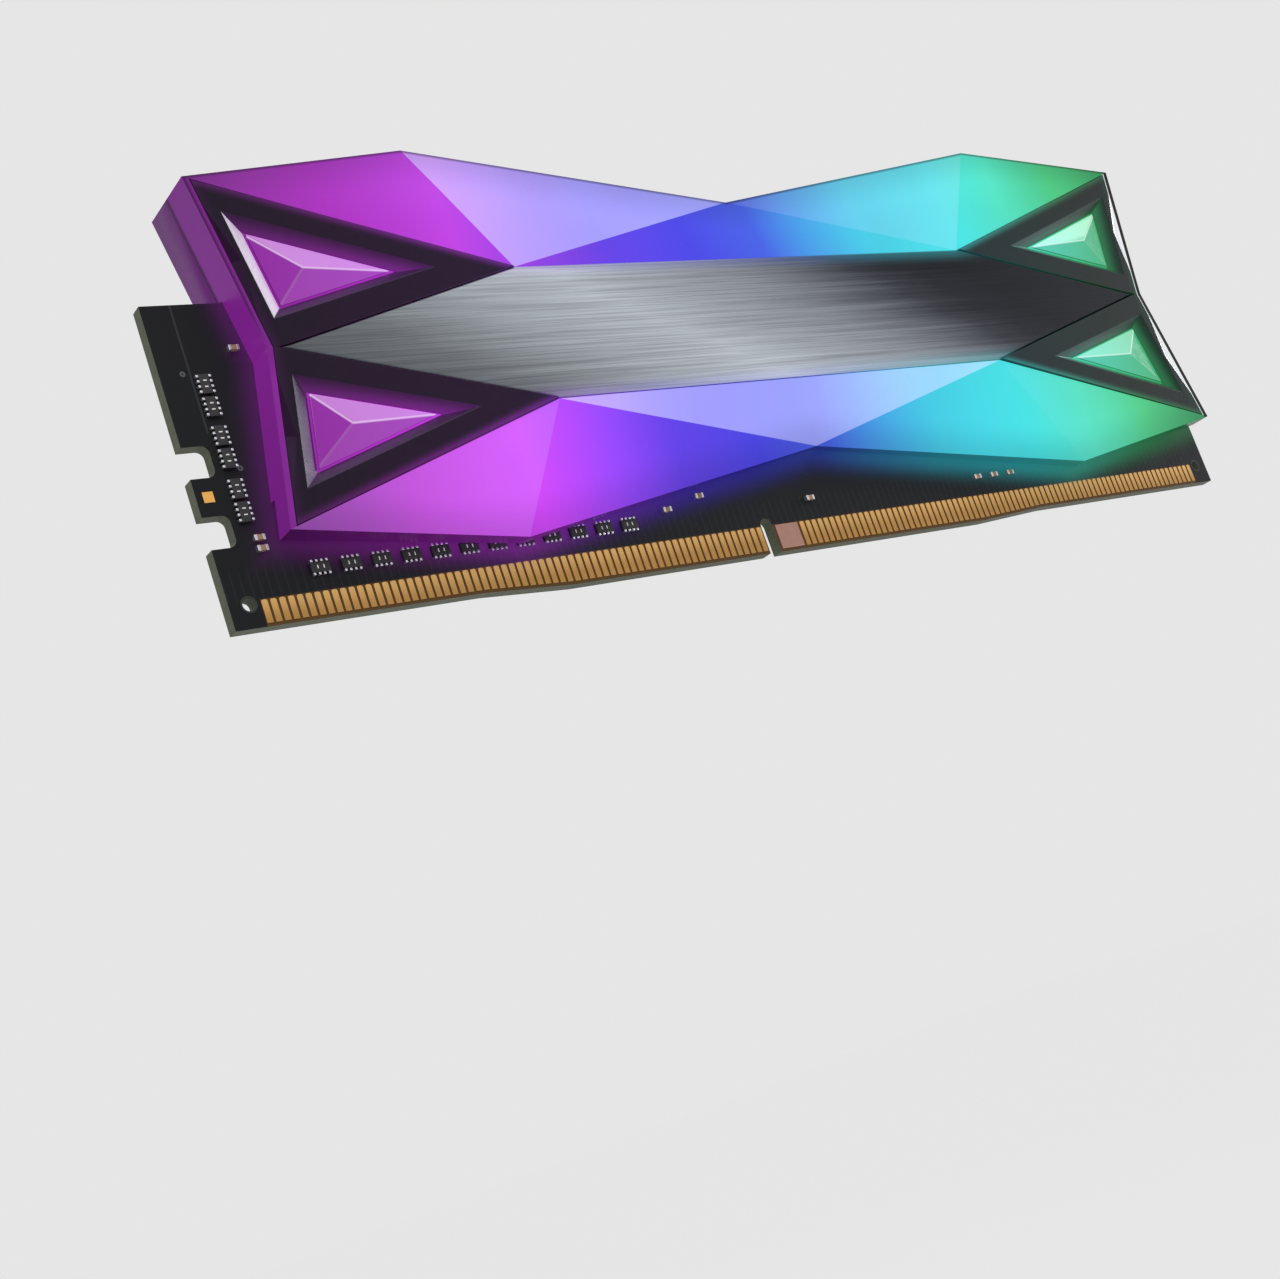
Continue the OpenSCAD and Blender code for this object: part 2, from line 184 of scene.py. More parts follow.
class Recipe:
    """The node tree of one material or world, from its coordinates to its shader."""

    def __init__(self, owner: bpy.types.Material | bpy.types.World) -> None:
        """Empties the tree of a new material or world.

        Args:
            owner: The material or world.
        """
        owner.use_nodes = True
        self.owner = owner
        self.tree = owner.node_tree
        self.tree.nodes.clear()
        kind = "World" if isinstance(owner, bpy.types.World) else "Material"
        self.output = self.add(f"ShaderNodeOutput{kind}")

    @classmethod
    def material(cls, name: str) -> "Recipe":
        """Starts a material of that name."""
        return cls(bpy.data.materials.new(name))

    def add(
        self,
        kind: str,
        settings: dict[str, Any] | None = None,
        inputs: dict[str | int, Any] | None = None,
    ) -> bpy.types.Node:
        """Adds one node.

        Args:
            kind: The node's type.
            settings: Its properties, set first; "stops" fills a colour ramp.
            inputs: Values or wires for its sockets, by name or number.

        Returns:
            The new node.
        """
        node = self.tree.nodes.new(kind)
        for key, value in (settings or {}).items():
            if key == "stops":
                self._fill_ramp(node.color_ramp, value)
            else:
                setattr(node, key, value)
        for key, value in (inputs or {}).items():
            if isinstance(value, Wire):
                self.tree.links.new(value.socket, node.inputs[key])
            else:
                node.inputs[key].default_value = value
        return node

    @staticmethod
    def _fill_ramp(ramp: bpy.types.ColorRamp, stops: Sequence[tuple[float, Colour]]) -> None:
        """Puts stops on a colour ramp.

        Args:
            ramp: The ramp, which starts with two stops of its own.
            stops: The place from 0 to 1 and the colour of each stop, in order.
        """
        while len(ramp.elements) < len(stops):
            ramp.elements.new(0.5)
        for element, (place, colour) in zip(ramp.elements, stops):
            element.position = place
            element.color = colour

    def wire(self, node: bpy.types.Node, output: int | str = 0) -> Wire:
        """Returns one output of a node."""
        return Wire(self, node.outputs[output])

    def math(self, operation: str, *values: Wire | float) -> Wire:
        """Returns the result of a Math node."""
        node = self.add("ShaderNodeMath", {"operation": operation}, dict(enumerate(values)))
        return self.wire(node)

    def xyz(self) -> tuple[Wire, Wire, Wire]:
        """Returns X, Y and Z of the object's own coordinates in millimetres."""
        place = self.wire(self.add("ShaderNodeTexCoord"), "Object")
        parts = self.add("ShaderNodeSeparateXYZ", inputs={0: place})
        return tuple(self.wire(parts, axis) * (1 / MM) for axis in range(3))

    def facing(self) -> tuple[Wire, Wire, Wire]:
        """Returns X, Y and Z of the surface's own direction."""
        direction = self.wire(self.add("ShaderNodeTexCoord"), "Normal")
        parts = self.add("ShaderNodeSeparateXYZ", inputs={0: direction})
        return tuple(self.wire(parts, axis) for axis in range(3))

    def noise(self, stretch: tuple[float, float, float], detail: float = 2.0) -> Wire:
        """Returns noise from 0 to 1.

        Args:
            stretch: How finely the noise runs along X, Y and Z, in features to the metre.
            detail: How many finer layers are added.
        """
        place = self.wire(self.add("ShaderNodeTexCoord"), "Object")
        scaled = self.add("ShaderNodeMapping", inputs={"Vector": place, "Scale": stretch})
        node = self.add(
            "ShaderNodeTexNoise", inputs={"Vector": self.wire(scaled), "Scale": 1.0, "Detail": detail}
        )
        return self.wire(node)

    def ramp(self, place: Wire, stops: Sequence[tuple[float, Colour]]) -> Wire:
        """Returns the colour at a place from 0 to 1 on a ramp."""
        return self.wire(self.add("ShaderNodeValToRGB", {"stops": stops}, {"Fac": place}))

    def mix(self, share: Wire | float, first: Wire | Colour, second: Wire | Colour) -> Wire:
        """Returns first at a share of 0 and second at a share of 1."""
        inputs = {"Factor": share, 6: first, 7: second}
        return self.wire(self.add("ShaderNodeMix", {"data_type": "RGBA"}, inputs), 2)

    def dim(self, colour: Wire | Colour, strength: Wire | float) -> Wire:
        """Returns a colour times a number."""
        return self.mix(strength, srgb(0, 0, 0), colour)

    def bump(self, height: Wire, depth: float) -> Wire:
        """Returns the surface's direction with a relief.

        Args:
            height: The relief, from 0 to 1.
            depth: Its depth in metres.
        """
        node = self.add("ShaderNodeBump", inputs={"Height": height, "Strength": 1.0, "Distance": depth})
        return self.wire(node)

    def finish(self, inputs: dict[str, Any]) -> bpy.types.Material:
        """Ends the material in one shader.

        Args:
            inputs: Values or wires for the shader's sockets.

        Returns:
            The material.
        """
        self.end_in(self.add("ShaderNodeBsdfPrincipled", inputs=inputs))
        return self.owner

    def blend(self, share: Wire, first: bpy.types.Node, second: bpy.types.Node) -> None:
        """Ends the tree in two shaders, with first at a share of 0 and second at 1."""
        inputs = {0: share, 1: self.wire(first), 2: self.wire(second)}
        self.end_in(self.add("ShaderNodeMixShader", inputs=inputs))

    def end_in(self, shader: bpy.types.Node) -> None:
        """Links a shader to the tree's output."""
        self.tree.links.new(shader.outputs[0], self.output.inputs[0])


# ---------------------------------------------------------------- spreader's outline


def moved_in(corners: Sequence[Point], amounts: Sequence[float]) -> list[Point]:
    """Moves the sides of an anticlockwise triangle inwards.

    Args:
        corners: Its three corners.
        amounts: How far the side that starts at each corner moves.

    Returns:
        The corners of the smaller triangle.
    """
    points = [Vector(corner) for corner in corners]
    ways = [(points[(i + 1) % 3] - points[i]).normalized() for i in range(3)]
    starts = [points[i] + Vector((-ways[i].y, ways[i].x)) * amounts[i] for i in range(3)]
    result = []
    for i in range(3):
        before, way = starts[i - 1], ways[i - 1]
        share = (starts[i] - before).cross(ways[i]) / way.cross(ways[i])
        result.append(tuple(before + way * share))
    return result


@dataclass(frozen=True)
class SpreaderPlan:
    """The flat outline of a heat spreader in its first quadrant, in millimetres."""

    centre: Point
    half_length: float
    half_height: float
    corner_z: float = 17.2
    tip_x: float = 60.4
    peak_x: float = 39.3
    notch_z: float = 14.6
    plate: Point = (31.2, 7.15)
    rim: float = 0.55
    arm_end: float = 1.5
    arm_outer: float = 2.55
    arm_inner: float = 2.4
    window_slopes: tuple[float, float, float] = (1.65, 1.1, 1.1)
    prism_gap: float = 0.15
    point_shares: tuple[float, float, float] = (0.36, 0.34, 0.30)

    @classmethod
    def measured(cls) -> "SpreaderPlan":
        """Returns the plan with its centre and half sizes taken from the light guide."""
        low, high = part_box("light_guide_front")
        middle = (low + high) / 2 / MM
        half = (high - low) / 2 / MM
        return cls((middle.x, middle.z), half.x, half.z)

    @property
    def corner(self) -> Point:
        """An outer corner."""
        return (self.half_length, self.corner_z)

    @property
    def peak(self) -> Point:
        """The highest point of the outline."""
        return (self.peak_x, self.half_height)

    @property
    def notch(self) -> Point:
        """The shallow notch in the middle."""
        return (0.0, self.notch_z)

    @property
    def tip(self) -> Point:
        """The notched end."""
        return (self.tip_x, 0.0)

    @property
    def window(self) -> list[Point]:
        """The corners of a window's opening in the frame's face."""
        ends = [(self.tip_x - self.rim, 0.0), self.corner, self.plate]
        return moved_in(ends, [self.arm_end, self.arm_outer, self.arm_inner])

    @property
    def seat(self) -> list[Point]:
        """The corners of a window at the prism's foot."""
        return moved_in(self.window, self.window_slopes)

    @property
    def prism_foot(self) -> list[Point]:
        """The corners of a prism's foot."""
        return moved_in(self.seat, [self.prism_gap] * 3)

    @property
    def prism_point(self) -> Point:
        """The place of a prism's point."""
        pairs = list(zip(self.prism_foot, self.point_shares))
        return tuple(sum(corner[axis] * share for corner, share in pairs) for axis in range(2))


class PlanMasks:
    """Distances on the spreader's face, worked out in the nodes of one material."""

    def __init__(self, recipe: Recipe, plan: SpreaderPlan) -> None:
        """Reads the place on the face.

        Args:
            recipe: The material.
            plan: The spreader's outline.
        """
        self.plan = plan
        x, self.y, z = recipe.xyz()
        self.along = x - plan.centre[0]
        self.up = z - plan.centre[1]
        self.away = abs(self.along)
        self.off = abs(self.up)

    @staticmethod
    def beside(first: Wire, second: Wire, start: Point, end: Point) -> Wire:
        """Measures across a line.

        Args:
            first: The place along the first axis.
            second: The place along the second axis.
            start: A point of the line.
            end: A later point of the line.

        Returns:
            The distance to the left of the line from start to end.
        """
        length = math.dist(start, end)
        across = (-(end[1] - start[1]) / length, (end[0] - start[0]) / length)
        offset = start[0] * across[0] + start[1] * across[1]
        return first * across[0] + second * across[1] - offset

    @staticmethod
    def along_line(first: Wire, second: Wire, start: Point, end: Point) -> Wire:
        """Measures along a line.

        Args:
            first: The place along the first axis.
            second: The place along the second axis.
            start: The point to measure from.
            end: A later point of the line.

        Returns:
            The distance from start towards end.
        """
        length = math.dist(start, end)
        way = ((end[0] - start[0]) / length, (end[1] - start[1]) / length)
        offset = start[0] * way[0] + start[1] * way[1]
        return first * way[0] + second * way[1] - offset

    def within(self, corners: Sequence[Point]) -> Wire:
        """Returns the distance into an anticlockwise triangle on the whole face."""
        return self._deepest(self.along, self.up, corners)

    def within_quadrant(self, corners: Sequence[Point]) -> Wire:
        """Returns the distance into a triangle that is repeated in all four quadrants."""
        return self._deepest(self.away, self.off, corners)

    def _deepest(self, first: Wire, second: Wire, corners: Sequence[Point]) -> Wire:
        """Returns the least of the distances to a triangle's three sides."""
        sides = zip(corners, (*corners[1:], corners[0]))
        return smallest([self.beside(first, second, start, end) for start, end in sides])

    def from_end(self) -> Wire:
        """Returns the distance in from the spreader's notched ends."""
        return self.beside(self.away, self.off, self.plan.tip, self.plan.corner)

    def inside_outline(self) -> Wire:
        """Returns the distance in from the spreader's outline."""
        plan = self.plan
        upper = [(plan.corner, plan.peak), (plan.peak, plan.notch)]
        sides = [self.beside(self.away, self.off, start, end) for start, end in upper]
        return smallest([self.from_end(), *sides])


# --------------------------------------------------------------------- finishes


@dataclass(frozen=True)
class LightColours:
    """The colours that the lights send along the module, from its left end to its right."""

    stops: tuple[tuple[float, Colour], ...] = (
        (-64, srgb(120, 34, 135)),
        (-50, srgb(170, 42, 190)),
        (-37, srgb(190, 62, 226)),
        (-28, srgb(144, 62, 232)),
        (-19, srgb(98, 62, 232)),
        (-8, srgb(70, 66, 230)),
        (2, srgb(66, 96, 230)),
        (18, srgb(64, 206, 232)),
        (32, srgb(66, 226, 230)),
        (42, srgb(80, 228, 196)),
        (52, srgb(70, 200, 128)),
        (64, srgb(44, 150, 84)),
    )

    def at(self, recipe: Recipe, along: Wire) -> Wire:
        """Returns the colour at a place along the module.

        Args:
            recipe: The material.
            along: The distance from the spreader's middle in millimetres.
        """
        first, last = self.stops[0][0], self.stops[-1][0]
        span = last - first
        stops = [((place - first) / span, colour) for place, colour in self.stops]
        return recipe.ramp((along - first) / span, stops)


@dataclass(frozen=True)
class LightGuideFinish:
    """Milky acrylic lit from inside, with painted highlights on the facets that face the light and on
    the inner wall at the right end, and painted shade at its outline, its far walls and its right rim.
    """

    plan: SpreaderPlan
    colours: LightColours = LightColours()
    # The pale colour of the painted highlight on the facets.
    pale: Colour = srgb(204, 206, 255)
    # Colour of the painted highlight on the inner wall at the right end.
    wall_highlight: Colour = srgb(238, 240, 242)
    glow: float = 0.8
    body: float = 0.2
    headroom: float = 1.35
    pale_gain: float = 0.35
    low_gain: float = 0.28
    fade: float = 0.24
    fade_reach: float = 4.5
    outline_dark: float = 0.6
    clouding: float = 0.28
    end_level: float = 0.82
    seam_level: float = 0.35
    far_level: float = 0.6
    rim_level: float = 0.24
    rim_dark: float = 0.02
    grain_depth: float = 0.003 * MM

    def pale_facets(self, masks: PlanMasks) -> Wire:
        """Returns how pale each facet is: a painted highlight on the facets that face the light.

        Args:
            masks: The distances on the spreader's face.
        """
        plan = self.plan
        px, pz = plan.plate
        peak_x, peak_z = plan.peak
        corner_x, corner_z = plan.corner
        facets = [
            (0.44, [(-px, pz), (0, plan.notch_z), (-peak_x, peak_z)]),
            (0.44, [(px, -pz), (-px, -pz), (0, -plan.notch_z)]),
            (0.12, [(px, pz), (peak_x, peak_z), (0, plan.notch_z)]),
            (0.07, [(-px, -pz), (-corner_x, -corner_z), (-peak_x, -peak_z)]),
            (0.03, [(px, -pz), (peak_x, -peak_z), (corner_x, -corner_z)]),
        ]
        return greatest([masks.within(corners).step(-0.03, 0.05) * share for share, corners in facets])

    def face_strength(self, recipe: Recipe, masks: PlanMasks, pale: Wire) -> Wire:
        """Returns how brightly the facets glow, with a fade, a painted dark line of shade at the upper
        outline and a painted highlight on the pale facets.

        Args:
            recipe: The material.
            masks: The distances on the spreader's face.
            pale: How pale each facet is.
        """
        inside = masks.inside_outline()
        fade = (1 - self.fade) + self.fade * inside.step(-0.5, self.fade_reach)
        # Painted shade: a dark line along the upper outline.
        line = 1 - self.outline_dark * masks.up.step(0.0, 4.0) * inside.step(0.4, 0.12)
        low_left = masks.up.step(0, -4) * masks.along.step(-16, -30)
        boost = 1 + self.pale_gain * pale + self.low_gain * low_left
        cloud = recipe.noise((60.0,) * 3, 1.0)
        return fade * line * boost * ((1 - self.clouding / 2) + self.clouding * cloud)

    def wall_strength(self, masks: PlanMasks, facing_z: Wire) -> Wire:
        """Returns how brightly the walls glow: darker at the seam, with painted shade past it and on
        the walls that face up or down.

        Args:
            masks: The distances on the spreader's face.
            facing_z: How far the surface looks up.
        """
        # The seam is a darker joint; painted shade dims the far half and the walls that face up or
        # down.
        flat_up = abs(facing_z).step(0.5, 0.8)
        seam = self.seam_level + (1 - self.seam_level) * abs(masks.y).step(0.05, 0.4)
        far_half = self.far_level + (1 - self.far_level) * masks.y.step(0.4, -0.4)
        return self.end_level * seam * far_half * (1 - flat_up) + self.rim_level * flat_up

    def make(self) -> bpy.types.Material:
        """Returns the material."""
        recipe = Recipe.material("lit_acrylic")
        masks = PlanMasks(recipe, self.plan)
        facing_x, facing_y, facing_z = recipe.facing()
        hue = self.colours.at(recipe, masks.along)
        front = abs(facing_y).step(0.4, 0.8)
        # Painted highlight: the facets that face the light are mixed towards the pale colour.
        pale = self.pale_facets(masks) * front
        walls = (1 - front) * self.wall_strength(masks, facing_z)
        strength = front * self.face_strength(recipe, masks, pale) + walls
        from_end = masks.from_end()
        # Painted shade: the rim's face at the right end is darkened nearly to black.
        right_rim = from_end.step(self.plan.rim + 0.1, self.plan.rim) * masks.along.step(0, 1)
        kept = strength * (1 - (1 - self.rim_dark) * right_rim) / self.headroom
        # Painted highlight: the inner wall at the right end is mixed to a silver white.
        inner_wall = facing_x.step(-0.6, -0.85) * masks.along.step(50, 55) * from_end.step(1.2, 0.9)
        colour = recipe.dim(recipe.mix(pale, hue, self.pale), kept)
        colour = recipe.mix(inner_wall, colour, recipe.dim(self.wall_highlight, 1 / self.headroom))
        grain = recipe.noise((2600.0,) * 3)
        return recipe.finish({
            "Base Color": recipe.dim(colour, self.body * self.headroom),
            "Emission Color": recipe.dim(colour, self.glow),
            "Emission Strength": self.headroom,
            "Roughness": 0.28 + 0.12 * grain,
            "Specular IOR Level": 0.14,
            "Normal": recipe.bump(grain, self.grain_depth),
        })


@dataclass(frozen=True)
class PrismFinish:
    """Clear prisms glowing with the guide's colours, with painted highlights on their upper facets and
    ridges and painted shade at their feet.
    """

    plan: SpreaderPlan
    colours: LightColours = LightColours()
    hue_reach: float = 0.88
    # The pale colour of the painted highlights.
    pale: Colour = srgb(255, 246, 255)
    gain: float = 1.25
    glow: float = 0.86
    body: float = 0.2
    side_level: float = 0.54
    top_gain: float = 0.46
    under_gain: float = 0.08
    top_pale: float = 0.3
    under_pale: float = 0.05
    foot_level: float = 0.3
    ridge_level: float = 0.85
    ridge_pale: float = 0.42
    ridge_width: float = 0.2
    dim_ridge: float = 0.75

    def ridges(self, masks: PlanMasks) -> Wire:
        """Returns the painted highlight along a prism's ridges: how near a point is to them, of which
        the lowest is the dimmest.

        Args:
            masks: The distances on the spreader's face.
        """
        point = self.plan.prism_point
        upper = masks.up.step(-0.1, 0.1)
        shares = (1 - self.dim_ridge * upper, 1 - self.dim_ridge * (1 - upper), 1.0)
        ridges = []
        for corner, share in zip(self.plan.prism_foot, shares):
            reach = abs(masks.beside(masks.away, masks.off, point, corner))
            along = masks.along_line(masks.away, masks.off, point, corner)
            outside = (along * -1).most(along - math.dist(point, corner)).most(0)
            ridges.append((reach + outside).step(self.ridge_width, self.ridge_width / 4) * share)
        return greatest(ridges)

    def make(self) -> bpy.types.Material:
        """Returns the material."""
        recipe = Recipe.material("clear_prism")
        masks = PlanMasks(recipe, self.plan)
        _, facing_y, facing_z = recipe.facing()
        hue = self.colours.at(recipe, masks.along * self.hue_reach)
        # Painted highlight on the facets that face up, and a little on those that face down.
        top = facing_z.step(0.12, 0.3)
        under = facing_z.step(-0.1, -0.3)
        # Painted highlight along the ridges.
        ridge = self.ridges(masks)
        pale = (self.top_pale * top + self.under_pale * under).most(self.ridge_pale * ridge)
        level = self.side_level + self.top_gain * top + self.under_gain * under
        # Painted shade on the walls of the prism's foot.
        foot = self.foot_level + (1 - self.foot_level) * abs(facing_y).step(0.1, 0.5)
        lit = recipe.dim(recipe.mix(pale, hue, self.pale), level.most(self.ridge_level * ridge) * foot)
        grain = recipe.noise((900.0,) * 3, 1.0)
        return recipe.finish({
            "Base Color": recipe.dim(lit, self.body),
            "Emission Color": recipe.dim(lit, self.glow),
            "Emission Strength": self.gain,
            "Roughness": 0.06 + 0.08 * grain,
            "Specular IOR Level": 0.3,
        })


@dataclass(frozen=True)
class FrameFinish:
    """Dark anodised metal with polished cut facets painted white as highlights where they face right, a
    painted grey sheen on some slopes, painted shadow on the left end facets and a painted glow from the
    guide at its edges.
    """

    plan: SpreaderPlan
    colours: LightColours = LightColours()
    metal: Colour = srgb(40, 37, 44)
    # Grey of the painted sheen on some slopes.
    sheen_grey: Colour = srgb(88, 88, 96)
    # White of the painted highlight on polished facets that face right.
    polished: Colour = srgb(240, 240, 244)
    # Glow painted on the highlights, tinted by the guide near the prisms.
    sparkle: Colour = srgb(84, 78, 86)
    sparkle_hue: float = 0.35
    highlight_diffuse: float = 0.7
    shadow: float = 0.6
    downward_sheen: float = 0.5
    grey_shade: float = 0.65
    slope_glow: tuple[float, float] = (0.06, 0.3)
    flat_glow: tuple[float, float, float] = (0.02, 0.26, 0.07)
    prism_reach: float = 1.7
    guide_reach: float = 1.3
    end_reach: tuple[float, float] = (1.9, 0.3)
    stroke_depth: float = 0.003 * MM

    def cuts(
        self, masks: PlanMasks, facing: tuple[Wire, Wire, Wire], slope: Wire
    ) -> tuple[Wire, Wire, Wire]:
        """Finds the painted highlight, sheen and shadow on the sloped faces, by the way that they face.

        Args:
            masks: The distances on the spreader's face.
            facing: X, Y and Z of the surface's direction.
            slope: Where the surface slopes.

        Returns:
            Where a painted highlight whitens it, where a painted sheen greys it and where painted
            shadow darkens it.
        """
        facing_x, _, facing_z = facing
        facet_edge = self.plan.arm_end + self.plan.rim
        on_end_facet = masks.from_end().step(facet_edge, facet_edge - 0.1)
        steep = abs(facing_x).step(0.32, 0.42)
        to_right = facing_x.step(0.1, 0.25)
        upward = facing_z.step(-0.03, 0.03)
        # Painted highlight on faces that turn right: the end facets on the right half and steep walls
        # that face up.
        bright_end = slope * on_end_facet * to_right * masks.along.step(0, 10)
        bright_wall = steep * to_right * upward * (1 - on_end_facet)
        # Painted grey sheen on slopes that lean up or down against their turn, and less on right-facing
        # walls that face down.
        leaning = abs(facing_z).step(0.4, 0.55)
        opposed = (facing_x * facing_z * -1).step(-0.02, 0.1) * leaning
        downward_wall = steep * to_right * (1 - upward)
        bright = bright_end.most(bright_wall * slope)
        grey = opposed.most(downward_wall * self.downward_sheen) * slope
        return bright, grey, slope * on_end_facet * (1 - to_right)

    def taken_light(self, masks: PlanMasks, slope: Wire, unlit: Wire, near_prism: Wire) -> Wire:
        """Returns the painted glow of the guide's light on each face.

        Args:
            masks: The distances on the spreader's face.
            slope: Where the surface slopes.
            unlit: The share of a slope's light that its cut leaves.
            near_prism: How near a slope is to a prism.
        """
        plan = self.plan
        to_facets = masks.beside(masks.away, masks.off, plan.corner, plan.plate)
        near_guide = to_facets.step(self.guide_reach, 0.0) * (1 - slope)
        near_end = masks.from_end().step(*self.end_reach) * (1 - slope)
        all_over, by_prism = self.slope_glow
        on_slope = (all_over + by_prism * near_prism * near_prism) * unlit * slope
        all_flats, by_guide, by_end = self.flat_glow
        on_flat = all_flats + by_guide * near_guide * near_guide + by_end * near_end
        return on_slope + on_flat * (1 - slope)

    def make(self) -> bpy.types.Material:
        """Returns the material."""
        recipe = Recipe.material("dark_anodised_frame")
        masks = PlanMasks(recipe, self.plan)
        facing = recipe.facing()
        slope = abs(facing[1]).step(0.985, 0.95)
        bright, grey, shadowed = self.cuts(masks, facing, slope)
        # Painted sheen greys the slopes picked by their facing.
        base = recipe.mix(grey, self.metal, self.sheen_grey)
        # Painted highlight whitens the facets that face right and up.
        base = recipe.mix(bright, base, self.polished)
        near_prism = (masks.within_quadrant(self.plan.seat) * -1).step(self.prism_reach, 0.0) * slope
        unlit = (1 - self.grey_shade * grey) * (1 - bright)
        light = self.taken_light(masks, slope, unlit, near_prism)
        hue = self.colours.at(recipe, masks.along)
        # Painted highlight glow, tinted with the guide's colour near the prisms.
        sparkle = recipe.mix(near_prism * self.sparkle_hue, self.sparkle, hue)
        strokes = recipe.noise((150.0, 3000.0, 9000.0), 3.0)
        wear = recipe.noise((1400.0,) * 3, 3.0)
        return recipe.finish({
            # Painted shadow darkens the left end facets; the wear noise varies the tone.
            "Base Color": recipe.dim(base, (0.8 + 0.2 * wear) * (1 - self.shadow * shadowed)),
            # Less metallic where highlit, so that the painted highlight shows white.
            "Metallic": 1 - self.highlight_diffuse * bright,
            "Roughness": 0.3 + 0.14 * strokes,
            # Painted glow: the guide's light on the metal, and the glow of the highlights.
            "Emission Color": recipe.mix(bright, recipe.dim(hue, light), sparkle),
            "Emission Strength": 1.0,
            "Normal": recipe.bump(strokes * (1 - bright), self.stroke_depth),
        })


@dataclass(frozen=True)
class PlateFinish:
    """Brushed aluminium with a painted reflection that runs from light grey to near black along the
    plate and darkens towards its top, and a painted glow from the guide near its edges.
    """

    plan: SpreaderPlan
    colours: LightColours = LightColours()
    slant: float = 2.0
    waver: float = 10.0
    stroke_shade: float = 0.34
    stroke_depth: float = 0.006 * MM
    edge_reach: float = 2.4
    edge_glow: float = 0.22
    # Painted reflection: light grey to near black along the plate.
    painted_reflection: tuple[tuple[float, Colour], ...] = (
        (-62, srgb(98, 102, 107)),
        (-46, srgb(130, 135, 141)),
        (-30, srgb(184, 191, 197)),
        (-15, srgb(208, 215, 222)),
        (-6, srgb(184, 190, 198)),
        (7, srgb(154, 160, 168)),
        (18, srgb(106, 109, 118)),
        (24, srgb(68, 70, 79)),
        (30, srgb(45, 47, 55)),
        (38, srgb(34, 36, 43)),
        (60, srgb(32, 34, 41)),
    )

    def make(self) -> bpy.types.Material:
        """Returns the material."""
        recipe = Recipe.material("brushed_plate")
        masks = PlanMasks(recipe, self.plan)
        first, last = self.painted_reflection[0][0], self.painted_reflection[-1][0]
        stops = [((place - first) / (last - first), shade) for place, shade in self.painted_reflection]
        strokes = recipe.noise((70.0, 400.0, 7500.0), 4.0)
        broad = recipe.noise((22.0, 200.0, 1500.0))
        # The painted reflection darkens along the plate and towards its top, with a wavering edge.
        place = masks.along + (broad - 0.5) * self.waver + masks.up * self.slant
        shade = recipe.ramp((place - first) / (last - first), stops)
        stroke = strokes.step(0.25, 0.7)
        plate_x, plate_z = self.plan.plate
        # Painted glow from the guide near the plate's upper and lower edges, away from its ends.
        edge = (masks.off * -1 + plate_z).step(self.edge_reach, 0.0)
        middle = masks.away.step(plate_x + 6, plate_x - 2)
        hue = self.colours.at(recipe, masks.along)
        return recipe.finish({
            "Base Color": recipe.dim(shade, (1 - self.stroke_shade) + self.stroke_shade * stroke),
            "Metallic": 1.0,
            "Roughness": 0.3 + 0.2 * strokes,
            "Emission Color": recipe.dim(hue, self.edge_glow * edge * edge * middle),
            "Emission Strength": 1.0,
            "Normal": recipe.bump(strokes, self.stroke_depth),
        })


